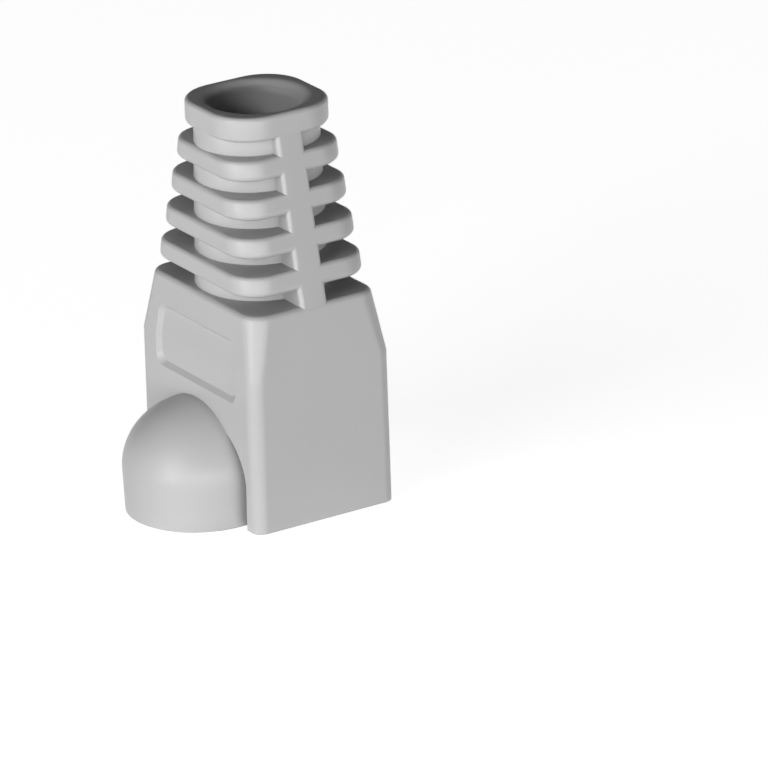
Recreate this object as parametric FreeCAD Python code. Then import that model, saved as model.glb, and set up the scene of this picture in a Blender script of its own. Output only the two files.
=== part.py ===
"""RJ45 strain relief boot: one soft moulding that slides over the back of a modular plug.

Frame: +Z is the way the cable leaves, z = 0 is the open end that takes the plug, -Y is the
front with the latch hood, and the Z axis is the cable's axis.  All lengths are millimetres.
"""
import FreeCAD, Part
import math
import os

from FreeCAD import Vector

# ---- plug pocket -----------------------------------------------------------------------
plug_width = 11.68              # body of the modular plug, across the contacts
plug_height = 8.15              # body of the modular plug, from the latch side to the back
plug_clearance = 0.11           # around the plug, on each side
pocket_depth = 12.2             # how far the plug's rear end goes in
pocket_corner = 0.6             # upright corner radius of the pocket

# ---- body ------------------------------------------------------------------------------
side_wall = 1.0                 # beside the plug at the open end, in X
face_wall = 1.1                 # in front of and behind the plug at the open end, in Y
body_draft = 0.02               # how far each face has come in at the kink
kink_height = 10.35             # where the faces start to lean in
shoulder_height = 14.45         # flat shoulder that the neck stands on
shoulder_half_width = 6.35      # half size of the shoulder in X
shoulder_half_depth = 4.8       # half size of the shoulder in Y
open_end_corner = 0.85          # upright corner radius at the open end
kink_corner = 0.9               # upright corner radius at the kink
shoulder_corner = 1.45          # upright corner radius at the shoulder
shoulder_round = 0.36           # rounding of the shoulder's edge
open_end_round = 0.1            # rounding of the outer rim at the open end

# ---- neck ------------------------------------------------------------------------------
neck_height = 12.3              # from the shoulder to the cable end
neck_foot_half_width = 6.3      # half size of the neck's outline in X at the shoulder
neck_foot_front_depth = 4.99    # from the axis to the neck's front at the shoulder
neck_foot_back_depth = 4.8      # from the axis to the neck's back at the shoulder
neck_foot_corner = 2.05         # corner radius of the neck's outline at the shoulder
neck_top_half_width = 3.65      # half size of the neck's outline in X at the cable end
neck_top_front_depth = 4.07     # from the axis to the neck's front at the cable end
neck_top_back_depth = 4.15      # from the axis to the neck's back at the cable end
neck_top_corner = 2.4           # corner radius of the neck's outline at the cable end
core_foot_half_width = 4.3      # half size in X of the tube between the flanges, at its foot
core_foot_half_depth = 4.3      # half size of that tube in Y, at its foot
core_top_half_width = 3.35      # half size of that tube in X, at the cable end
core_top_half_depth = 4.05      # half size of that tube in Y, at the cable end
core_flat = 0.1                 # half length of the flat left between the tube's corners
flange_count = 4                # flanges between the shoulder and the end ring
flange_pitch = 2.4              # from one flange's upper face to the next
flange_thickness = 1.35         # of each flange
ring_thickness = 1.65           # of the upright ring at the cable end
ring_corner = 2.85              # corner radius of the ring
upper_round = 0.28              # rounding of the flanges' and the ring's upper edges
lower_round = 0.36              # rounding of the flanges' and the ring's lower edges
rib_width = 2.0                 # of the flat rib on each side of the neck
rib_round = 0.3                 # rounding of the rib's long edges

# ---- cable bore ------------------------------------------------------------------------
bore_diameter = 5.6             # takes the cable's jacket
mouth_round = 0.85              # rounding of the bore's mouth
lead_in_diameter = 8.0          # wide end of the cone between the pocket and the bore
lead_in_depth = 1.2             # height of that cone

# ---- latch hood ------------------------------------------------------------------------
hood_open_radius = 4.86         # half round outline at the open end
hood_wide_radius = 4.96         # half round outline where the dome starts
hood_dome_start = 2.85          # height where the upright part ends
hood_dome_height = 4.6          # from there to the dome's top
hood_wall = 1.0
groove_width = 0.8              # of the groove along the hood's root, in the front face
groove_depth = 0.6              # of that groove, beside the hood
groove_drop = 0.5               # how much lower than the dome the groove's outline is

# ---- recessed panel above the hood -----------------------------------------------------
panel_half_width = 4.85
panel_foot = 8.35               # height of its lower edge
panel_top = 12.8                # height of its upper edge
panel_depth = 0.3
panel_corner = 0.7

# ---- worked out from the sizes above ---------------------------------------------------
pocket_half_width = plug_width / 2 + plug_clearance
pocket_half_depth = plug_height / 2 + plug_clearance
body_half_width = pocket_half_width + side_wall
body_half_depth = pocket_half_depth + face_wall
total_height = shoulder_height + neck_height
flange_tops = [shoulder_height + flange_pitch * (i + 1) for i in range(flange_count)]
past = 1.0                      # how far a cutter runs past what it cuts

UP = Vector(0, 0, 1)
TOLERANCE = 1e-4


def rounded_rectangle(half_x, half_y, corner, z):
    """Closed outline at height z, centred on the Z axis."""
    return rounded_outline(half_x, half_y, half_y, corner, z)


def rounded_outline(half_x, front, back, corner, z):
    """Closed outline at height z, reaching to -front and back in Y."""
    quarters = (
        (half_x - corner, back - corner, 0),
        (corner - half_x, back - corner, 90),
        (corner - half_x, corner - front, 180),
        (half_x - corner, corner - front, 270),
    )
    arcs = []
    for x, y, start in quarters:
        circle = Part.Circle(Vector(x, y, z), UP, corner)
        arcs.append(Part.Arc(circle, math.radians(start), math.radians(start + 90)))
    outline = []
    for arc, following in zip(arcs, arcs[1:] + arcs[:1]):
        outline.append(arc.toShape())
        outline.append(Part.makeLine(arc.EndPoint, following.StartPoint))
    return Part.Wire(outline)


def edges_at(shape, z):
    """Edges of a shape that lie flat at height z."""
    found = []
    for edge in shape.Edges:
        box = edge.BoundBox
        if abs(box.ZMin - z) < TOLERANCE and abs(box.ZMax - z) < TOLERANCE:
            found.append(edge)
    return found


def block(x_range, y_range, z_range):
    """Box between the given limits on each axis."""
    corner = Vector(x_range[0], y_range[0], z_range[0])
    size = [high - low for low, high in (x_range, y_range, z_range)]
    return Part.makeBox(*size, corner)


# ---- body ------------------------------------------------------------------------------
def body_form(inset):
    """Outer form of the body, with its front and back faces moved in by inset."""
    sections = (
        (body_half_width, body_half_depth, open_end_corner, 0),
        (body_half_width - body_draft, body_half_depth - body_draft, kink_corner, kink_height),
        (shoulder_half_width, shoulder_half_depth, shoulder_corner, shoulder_height),
    )
    wires = [rounded_rectangle(x, y - inset, corner, z) for x, y, corner, z in sections]
    return Part.makeLoft(wires, True, True)


def make_body():
    """Solid block of the body, with its shoulder's edge and outer rim rounded."""
    body = body_form(0)
    body = body.makeFillet(shoulder_round, edges_at(body, shoulder_height))
    return body.makeFillet(open_end_round, edges_at(body, 0))


# ---- latch hood ------------------------------------------------------------------------
def hood_form(open_radius, wide_radius, dome_height, foot):
    """Upright round form with a domed top, turned about the middle of the front face."""
    foot_middle = Vector(0, 0, foot)
    foot_edge = Vector(open_radius, 0, foot)
    dome_edge = Vector(wide_radius, 0, hood_dome_start)
    dome_top = Vector(0, 0, hood_dome_start + dome_height)
    ellipse_centre = Vector(0, 0, hood_dome_start)
    if wide_radius > dome_height:
        ellipse = Part.Ellipse(dome_edge, dome_top, ellipse_centre)
    else:
        ellipse = Part.Ellipse(dome_top, Vector(-wide_radius, 0, hood_dome_start), ellipse_centre)
    outline = [
        Part.makeLine(foot_middle, foot_edge),
        Part.makeLine(foot_edge, dome_edge),
        Part.Arc(ellipse, ellipse.parameter(dome_edge), ellipse.parameter(dome_top)).toShape(),
        Part.makeLine(dome_top, foot_middle),
    ]
    form = Part.Face(Part.Wire(outline)).revolve(Vector(), UP, 360)
    form.translate(Vector(0, -body_half_depth, 0))
    return form


def make_hood():
    """Outside of the hood, in front of the body only."""
    form = hood_form(hood_open_radius, hood_wide_radius, hood_dome_height, 0)
    form = form.makeFillet(open_end_round, edges_at(form, 0))
    reach = body_half_width + past
    front = block((-reach, reach), (-body_half_depth - reach, 0), (-past, shoulder_height))
    return form.common(front)


def groove_outline(widening, lowering, y):
    """The hood's outline in the plane at y, made wider and its dome lower."""
    open_radius = hood_open_radius + widening
    wide_radius = hood_wide_radius + widening
    corners = [Vector(side * open_radius, y, -past) for side in (-1, 1)]
    dome_edges = [Vector(side * wide_radius, y, hood_dome_start) for side in (-1, 1)]
    dome_top = Vector(0, y, hood_dome_start + hood_dome_height - lowering)
    ellipse = Part.Ellipse(dome_edges[1], dome_top, Vector(0, y, hood_dome_start))
    start, end = sorted(ellipse.parameter(edge) for edge in dome_edges)
    return Part.Wire(
        [
            Part.makeLine(corners[0], corners[1]),
            Part.makeLine(corners[1], dome_edges[1]),
            Part.Arc(ellipse, start, end).toShape(),
            Part.makeLine(dome_edges[0], corners[0]),
        ]
    )


def groove_cutter():
    """Groove in the front face along the hood's root, deepest beside the hood."""
    slope = groove_width / groove_depth
    face = groove_outline(groove_width + slope * past, groove_drop, -body_half_depth - past)
    bottom = groove_outline(0, groove_drop, groove_depth - body_half_depth)
    return Part.makeLoft([face, bottom], True, True)


def hood_hollow():
    """Room for the plug's latch, open to the pocket and to the open end."""
    return hood_form(
        hood_open_radius - hood_wall, hood_wide_radius - hood_wall, hood_dome_height - hood_wall, -past
    )


# ---- panel -----------------------------------------------------------------------------
def panel_cutter():
    """Recess with walls at 45 degrees and a floor that follows the front face."""
    middle = (panel_foot + panel_top) / 2
    half_height = (panel_top - panel_foot) / 2
    reach = panel_depth + body_half_depth - shoulder_half_depth
    wires = []
    for offset in (-past, reach):
        wire = rounded_rectangle(panel_half_width - offset, half_height - offset, panel_corner, offset)
        wires.append(wire)
    cutter = Part.makeLoft(wires, True, True)
    cutter.rotate(Vector(), Vector(1, 0, 0), -90)
    cutter.translate(Vector(0, -body_half_depth, middle))
    return cutter.cut(body_form(panel_depth))


# ---- neck ------------------------------------------------------------------------------
def between(foot, top, z):
    """Value at height z of a size that changes evenly up the neck."""
    return foot + (top - foot) * (z - shoulder_height) / neck_height


def neck_half_width(z):
    """Half size in X of the flanges, the ring and the ribs at height z."""
    return between(neck_foot_half_width, neck_top_half_width, z)


def collar(low, high, half_widths, corner):
    """Rounded plate around the neck, with upright faces in front and behind."""
    middle = (low + high) / 2
    front = between(neck_foot_front_depth, neck_top_front_depth, middle)
    back = between(neck_foot_back_depth, neck_top_back_depth, middle)
    wires = []
    for z, half_width in zip((low, high), half_widths):
        wires.append(rounded_outline(half_width, front, back, corner, z))
    solid = Part.makeLoft(wires, True, True)
    solid = solid.makeFillet(upper_round, edges_at(solid, high))
    return solid.makeFillet(lower_round, edges_at(solid, low))


def make_flange(top):
    """Flange with its upper face at the given height; its sides lean with the neck."""
    foot = top - flange_thickness
    corner = between(neck_foot_corner, neck_top_corner, (foot + top) / 2)
    return collar(foot, top, (neck_half_width(foot), neck_half_width(top)), corner)


def make_ring():
    """Upright ring at the cable end."""
    foot = total_height - ring_thickness
    return collar(foot, total_height, (neck_half_width(foot), neck_half_width(foot)), ring_corner)


def core_outline(z):
    """Outline of the tube between the flanges at height z: half sizes and corner."""
    half_x = between(core_foot_half_width, core_top_half_width, z)
    half_y = between(core_foot_half_depth, core_top_half_depth, z)
    return half_x, half_y, min(half_x, half_y) - core_flat


def upright_bar(outline):
    """Bar up the neck; outline gives its half sizes and corner at a height."""
    wires = []
    for z in (shoulder_height - shoulder_round, total_height - ring_thickness / 2):
        wires.append(rounded_rectangle(*outline(z), z))
    return Part.makeLoft(wires, True, True)


def make_neck():
    """Tube, side ribs, flanges and end ring as overlapping solids."""
    tube = upright_bar(core_outline)
    ribs = upright_bar(lambda z: (neck_half_width(z), rib_width / 2, rib_round))
    return [tube, ribs, make_ring()] + [make_flange(top) for top in flange_tops]


# ---- inside ----------------------------------------------------------------------------
def plug_pocket():
    """Straight pocket for the plug, open at the foot."""
    wires = []
    for z in (-past, pocket_depth):
        wires.append(rounded_rectangle(pocket_half_width, pocket_half_depth, pocket_corner, z))
    return Part.makeLoft(wires, True, True)


def cable_bore():
    """Cone above the pocket, straight bore and rounded mouth, turned about the Z axis."""
    bore = bore_diameter / 2
    wall_end = total_height - mouth_round
    rim = bore + mouth_round
    half_way = mouth_round / math.sqrt(2)
    turn = (
        Vector(bore, 0, wall_end),
        Vector(rim - half_way, 0, wall_end + half_way),
        Vector(rim, 0, total_height),
    )
    points = [
        Vector(rim, 0, total_height),
        Vector(rim, 0, total_height + past),
        Vector(0, 0, total_height + past),
        Vector(0, 0, pocket_depth - past),
        Vector(lead_in_diameter / 2, 0, pocket_depth - past),
        Vector(lead_in_diameter / 2, 0, pocket_depth),
        Vector(bore, 0, pocket_depth + lead_in_depth),
        Vector(bore, 0, wall_end),
    ]
    outline = [Part.makeLine(*pair) for pair in zip(points, points[1:])]
    outline.append(Part.Arc(*turn).toShape())
    return Part.Face(Part.Wire(outline)).revolve(Vector(), UP, 360)


def make_boot():
    """The whole moulding."""
    body = make_body().cut(groove_cutter()).cut(panel_cutter())
    boot = body.multiFuse([make_hood()] + make_neck()).removeSplitter()
    boot = boot.cut(plug_pocket()).cut(hood_hollow()).cut(cable_bore())
    return boot.removeSplitter()


boot = make_boot()
os.makedirs("parts", exist_ok=True)
boot.exportStep("parts/strain_relief_boot.step")
print("solids", len(boot.Solids), "valid", boot.isValid(), "volume", round(boot.Volume, 1), "mm3")
print("box", boot.BoundBox)
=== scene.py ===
"""Looks of the RJ45 strain relief boot: one soft moulding in light grey PVC.

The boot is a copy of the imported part's own mesh with its doubles merged, so that it
shades as one smooth skin.  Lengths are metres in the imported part's frame: z = 0 is the
open end, +Z is the way the cable leaves and -Y is the front with the latch hood.
Azimuths run from the front towards the right side, +X, and elevations up from level.
"""

import math

import bmesh
import bpy
from mathutils import Matrix, Vector


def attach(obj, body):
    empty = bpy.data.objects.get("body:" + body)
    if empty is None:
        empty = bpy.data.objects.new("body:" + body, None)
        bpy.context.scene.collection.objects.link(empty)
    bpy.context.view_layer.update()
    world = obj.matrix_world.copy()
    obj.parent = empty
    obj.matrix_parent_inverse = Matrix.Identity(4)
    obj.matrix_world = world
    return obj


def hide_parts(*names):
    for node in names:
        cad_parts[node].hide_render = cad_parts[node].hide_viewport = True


MM = 0.001

# ---- shape --------------------------------------------------------------------------------
MERGE_DISTANCE = 0.0008 * MM
SHARP_ANGLE = math.radians(28)     # a steeper fold between two faces stays an edge
KINK_HEIGHT = 10.35 * MM           # where the body's faces start to lean in
KINK_REACH = 0.45 * MM             # how far the soft bend runs above and below that
LARGE_FACE_WEIGHT = 50             # how much large faces lead the normals, out of 100

# ---- finish -------------------------------------------------------------------------------
PVC_COLOUR = (0.595, 0.595, 0.595)
PVC_SHADE = (0.565, 0.565, 0.565)  # the colour's darker clouds
PVC_ROUGHNESS = 0.4
PVC_SPECULAR = 0.5
PVC_IOR = 1.5
CLOUD_SCALE = 220                  # clouds to the metre
CLOUD_DETAIL = 3
# painted shade: the colour is darkened in the boot's gaps and recesses, where shade falls
PAINTED_SHADE_REACH = 2.0 * MM            # how near other walls must stand for painted shade
PAINTED_SHADE_OPEN = 0.7                  # openness from which a face gets no painted shade
PAINTED_SHADE_LEVEL = 0.5                 # level of the colour under the deepest painted shade
PAINTED_SHADE_SAMPLES = 8
GRAIN_SCALE = 9000                 # grains to the metre
GRAIN_DETAIL = 2
GRAIN_STRENGTH = 0.12
GRAIN_DEPTH = 0.01 * MM
EDGE_RADIUS = 0.07 * MM            # softening of every edge
EDGE_SAMPLES = 6

# ---- camera -------------------------------------------------------------------------------
VIEW_AZIMUTH = math.radians(57.713)
VIEW_ELEVATION = math.radians(21.136)
VIEW_ROLL = math.radians(-1.767)
VIEW_DISTANCE = 0.5
VIEW_ASIDE = 7.3914 * MM           # how far right of the part's origin the camera looks
VIEW_ABOVE = 6.6276 * MM           # how far above the part's origin the camera looks
SENSOR_WIDTH = 36                  # mm
FOCAL_LENGTH = 361.64              # mm
NEAREST_SEEN = 0.01
FARTHEST_SEEN = 20

# ---- floor and light ----------------------------------------------------------------------
FLOOR_HALF_WIDTH = 3.0
FLOOR_DROP = 0.02 * MM             # how far the floor lies under the open end
FLOOR_COLOUR = (0.8, 0.8, 0.8)
BACKDROP_LEVEL = 0.84              # glow of the floor towards the eye
ROOM_LEVEL = 0.02                  # even light from all round
BACKDROP_TOP = 0.06                # rise, as a sine, up to which reflections see white
LAMP_DISTANCE = 0.6
LAMP_AIM = 13 * MM                 # height of the point that the lamps look at
LAMP_ROWS = (
    # name, azimuths and elevation in degrees, width, height, watts
    ("front lamp", (18,), 2.5, 0.14, 0.06, 1.0),
    ("right lamp", (50, 72, 95), 2.5, 0.24, 0.06, 0.61),
    ("left lamp", (-50, -20, 0), 8, 0.2, 0.08, 0.10),
    ("high lamp", (5, 25), 24, 0.2, 0.1, 0.44),
    ("back lamp", (185, 215, 245), 0, 0.24, 0.06, 1.15),
)
MATT_LAMPS = ("back lamp",)        # light matt surfaces only, and leave no glare

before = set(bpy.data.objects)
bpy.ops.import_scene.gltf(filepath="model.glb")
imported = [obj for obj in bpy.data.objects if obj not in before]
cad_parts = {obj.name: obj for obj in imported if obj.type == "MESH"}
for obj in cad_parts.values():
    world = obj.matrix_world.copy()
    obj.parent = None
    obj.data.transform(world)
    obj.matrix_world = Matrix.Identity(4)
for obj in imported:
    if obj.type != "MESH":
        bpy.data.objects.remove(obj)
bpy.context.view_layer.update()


# ---- the boot -----------------------------------------------------------------------------
def soft_skin(node):
    """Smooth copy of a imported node's mesh, with its doubles merged."""
    mesh = node.data.copy()
    mesh.name = "boot"
    skin = bmesh.new()
    skin.from_mesh(mesh)
    bmesh.ops.remove_doubles(skin, verts=skin.verts, dist=MERGE_DISTANCE)
    for height in (KINK_HEIGHT - KINK_REACH, KINK_HEIGHT + KINK_REACH):
        bmesh.ops.bisect_plane(
            skin,
            geom=skin.verts[:] + skin.edges[:] + skin.faces[:],
            dist=MERGE_DISTANCE,
            plane_co=(0, 0, height),
            plane_no=(0, 0, 1),
        )
    for face in skin.faces:
        face.smooth = True
    for edge in skin.edges:
        edge.smooth = edge.is_manifold and edge.calc_face_angle() < SHARP_ANGLE
    skin.to_mesh(mesh)
    skin.free()
    return mesh


def even_normals(piece):
    """Lets large flat faces lead the normals of the roundings beside them."""
    weighted = piece.modifiers.new("Even normals", "WEIGHTED_NORMAL")
    weighted.keep_sharp = True
    weighted.weight = LARGE_FACE_WEIGHT


# ---- material -----------------------------------------------------------------------------
def noise(tree, place, scale, detail):
    """Uneven pattern of a given scale over the piece."""
    pattern = tree.nodes.new("ShaderNodeTexNoise")
    pattern.inputs["Scale"].default_value = scale
    pattern.inputs["Detail"].default_value = detail
    tree.links.new(place.outputs["Object"], pattern.inputs["Vector"])
    return pattern.outputs["Fac"]


def cloudy_grey(tree, place):
    """Light grey with faint darker clouds."""
    tone = tree.nodes.new("ShaderNodeMix")
    tone.data_type = "RGBA"
    tone.inputs["A"].default_value = (*PVC_SHADE, 1)
    tone.inputs["B"].default_value = (*PVC_COLOUR, 1)
    tree.links.new(noise(tree, place, CLOUD_SCALE, CLOUD_DETAIL), tone.inputs["Factor"])
    return tone.outputs["Result"]


def painted_shade_in_hollows(tree, colour):
    """Painted shade: colour that darkens where other walls of the boot stand near, as shade
    falls in its gaps and recesses.
    """
    hollows = tree.nodes.new("ShaderNodeAmbientOcclusion")
    hollows.samples = PAINTED_SHADE_SAMPLES
    hollows.only_local = True
    hollows.inputs["Distance"].default_value = PAINTED_SHADE_REACH
    depth = tree.nodes.new("ShaderNodeMapRange")
    depth.inputs["From Max"].default_value = PAINTED_SHADE_OPEN
    depth.inputs["To Min"].default_value = PAINTED_SHADE_LEVEL
    tree.links.new(hollows.outputs["AO"], depth.inputs["Value"])
    shaded = tree.nodes.new("ShaderNodeMix")
    shaded.data_type = "RGBA"
    shaded.blend_type = "MULTIPLY"
    shaded.inputs["Factor"].default_value = 1
    tree.links.new(colour, shaded.inputs["A"])
    tree.links.new(depth.outputs["Result"], shaded.inputs["B"])
    return shaded.outputs["Result"]


def grain_on_soft_edges(tree, place):
    """Normal of finely grained walls whose edges are softened."""
    edges = tree.nodes.new("ShaderNodeBevel")
    edges.samples = EDGE_SAMPLES
    edges.inputs["Radius"].default_value = EDGE_RADIUS
    relief = tree.nodes.new("ShaderNodeBump")
    relief.inputs["Strength"].default_value = GRAIN_STRENGTH
    relief.inputs["Distance"].default_value = GRAIN_DEPTH
    tree.links.new(noise(tree, place, GRAIN_SCALE, GRAIN_DETAIL), relief.inputs["Height"])
    tree.links.new(edges.outputs["Normal"], relief.inputs["Normal"])
    return relief.outputs["Normal"]


def soft_pvc():
    """Light grey soft PVC from a finely blasted mould, with painted shade in its gaps and
    recesses.
    """
    material = bpy.data.materials.new("soft grey pvc")
    material.use_nodes = True
    tree = material.node_tree
    shader = tree.nodes["Principled BSDF"]
    shader.inputs["Roughness"].default_value = PVC_ROUGHNESS
    shader.inputs["Specular IOR Level"].default_value = PVC_SPECULAR
    shader.inputs["IOR"].default_value = PVC_IOR
    place = tree.nodes.new("ShaderNodeTexCoord")
    # painted shade: the grey is darkened in the boot's gaps and recesses
    colour = painted_shade_in_hollows(tree, cloudy_grey(tree, place))
    tree.links.new(colour, shader.inputs["Base Color"])
    tree.links.new(grain_on_soft_edges(tree, place), shader.inputs["Normal"])
    return material


# ---- stage --------------------------------------------------------------------------------
def reckon(tree, operation, first, second):
    """Result of one sum on two values, each a socket or a plain number."""
    node = tree.nodes.new("ShaderNodeMath")
    node.operation = operation
    for value, socket in zip((first, second), node.inputs):
        if isinstance(value, bpy.types.NodeSocket):
            tree.links.new(value, socket)
        else:
            socket.default_value = value
    return node.outputs[0]


def low_in_the_room(tree):
    """1 for directions below level, fading to 0 at the top of the backdrop."""
    direction = tree.nodes.new("ShaderNodeTexCoord")
    split = tree.nodes.new("ShaderNodeSeparateXYZ")
    tree.links.new(direction.outputs["Generated"], split.inputs[0])
    fade = tree.nodes.new("ShaderNodeMapRange")
    fade.inputs["From Min"].default_value = BACKDROP_TOP
    fade.inputs["From Max"].default_value = 0
    tree.links.new(split.outputs["Z"], fade.inputs["Value"])
    return fade.outputs[0]


def white_to_the_eye(tree, strength, low_only=False):
    """Level of a white glow that only the camera, reflections and clear materials see.

    With low_only, reflections see it only low in the room.
    """
    path = tree.nodes.new("ShaderNodeLightPath")
    glossy = path.outputs["Is Glossy Ray"]
    if low_only:
        glossy = reckon(tree, "MULTIPLY", glossy, low_in_the_room(tree))
    seen = reckon(tree, "MAXIMUM", path.outputs["Is Camera Ray"], glossy)
    seen = reckon(tree, "MAXIMUM", seen, path.outputs["Is Transmission Ray"])
    return reckon(tree, "MULTIPLY", seen, strength)


def make_floor():
    """Pale floor under the open end, white to the eye apart from the boot's shadow."""
    half = FLOOR_HALF_WIDTH
    mesh = bpy.data.meshes.new("floor")
    corners = [(-half, -half, 0), (half, -half, 0), (half, half, 0), (-half, half, 0)]
    mesh.from_pydata(corners, [], [(0, 1, 2, 3)])
    floor = bpy.data.objects.new("floor", mesh)
    floor.location.z = -FLOOR_DROP
    bpy.context.scene.collection.objects.link(floor)
    material = bpy.data.materials.new("pale floor")
    material.use_nodes = True
    tree = material.node_tree
    tree.nodes.remove(tree.nodes["Principled BSDF"])
    matt = tree.nodes.new("ShaderNodeBsdfDiffuse")
    matt.inputs["Color"].default_value = (*FLOOR_COLOUR, 1)
    glow = tree.nodes.new("ShaderNodeEmission")
    tree.links.new(white_to_the_eye(tree, BACKDROP_LEVEL), glow.inputs["Strength"])
    both = tree.nodes.new("ShaderNodeAddShader")
    tree.links.new(matt.outputs[0], both.inputs[0])
    tree.links.new(glow.outputs[0], both.inputs[1])
    tree.links.new(both.outputs[0], tree.nodes["Material Output"].inputs["Surface"])
    mesh.materials.append(material)
    return floor


def light_world():
    """Nearly dark room with a white backdrop."""
    world = bpy.data.worlds.new("room")
    bpy.context.scene.world = world
    world.use_nodes = True
    tree = world.node_tree
    background = tree.nodes["Background"]
    background.inputs["Color"].default_value = (1, 1, 1, 1)
    backdrop = white_to_the_eye(tree, 1 - ROOM_LEVEL, low_only=True)
    level = reckon(tree, "ADD", backdrop, ROOM_LEVEL)
    tree.links.new(level, background.inputs["Strength"])


def way_out(azimuth, elevation):
    """Direction from the boot towards a lamp or the camera."""
    return Vector((
        math.sin(azimuth) * math.cos(elevation),
        -math.cos(azimuth) * math.cos(elevation),
        math.sin(elevation),
    ))


def softbox(name, azimuth, elevation, width, height, power):
    """Rectangular lamp that looks at the middle of the boot."""
    lamp = bpy.data.lights.new(name, "AREA")
    lamp.shape = "RECTANGLE"
    lamp.size = width
    lamp.size_y = height
    lamp.energy = power
    box = bpy.data.objects.new(name, lamp)
    away = way_out(math.radians(azimuth), math.radians(elevation))
    box.location = Vector((0, 0, LAMP_AIM)) + away * LAMP_DISTANCE
    box.rotation_euler = away.to_track_quat("Z", "Y").to_euler()
    box.visible_glossy = name not in MATT_LAMPS
    bpy.context.scene.collection.objects.link(box)


def light_boot():
    """Rows of soft lamps all round."""
    for name, azimuths, elevation, width, height, power in LAMP_ROWS:
        for azimuth in azimuths:
            softbox(name, azimuth, elevation, width, height, power)


def make_camera():
    """Long lens from the front right, a little above."""
    back = way_out(VIEW_AZIMUTH, VIEW_ELEVATION)
    level = Vector((math.cos(VIEW_AZIMUTH), math.sin(VIEW_AZIMUTH), 0))
    upright = back.cross(level)
    right = math.cos(VIEW_ROLL) * level + math.sin(VIEW_ROLL) * upright
    up = -math.sin(VIEW_ROLL) * level + math.cos(VIEW_ROLL) * upright
    place = back * VIEW_DISTANCE + right * VIEW_ASIDE + up * VIEW_ABOVE
    lens = bpy.data.cameras.new("camera")
    lens.sensor_width = SENSOR_WIDTH
    lens.lens = FOCAL_LENGTH
    lens.clip_start = NEAREST_SEEN
    lens.clip_end = FARTHEST_SEEN
    camera = bpy.data.objects.new("camera", lens)
    turn = Matrix((right, up, back)).transposed()
    camera.matrix_world = Matrix.Translation(place) @ turn.to_4x4()
    bpy.context.scene.collection.objects.link(camera)
    bpy.context.scene.camera = camera


boot = bpy.data.objects.new("boot", soft_skin(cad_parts["strain_relief_boot"]))
bpy.context.scene.collection.objects.link(boot)
boot.data.materials.clear()
boot.data.materials.append(soft_pvc())
even_normals(boot)
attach(boot, "root")
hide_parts("strain_relief_boot")

make_floor()
light_world()
light_boot()
make_camera()
bpy.context.scene.view_settings.view_transform = "Standard"
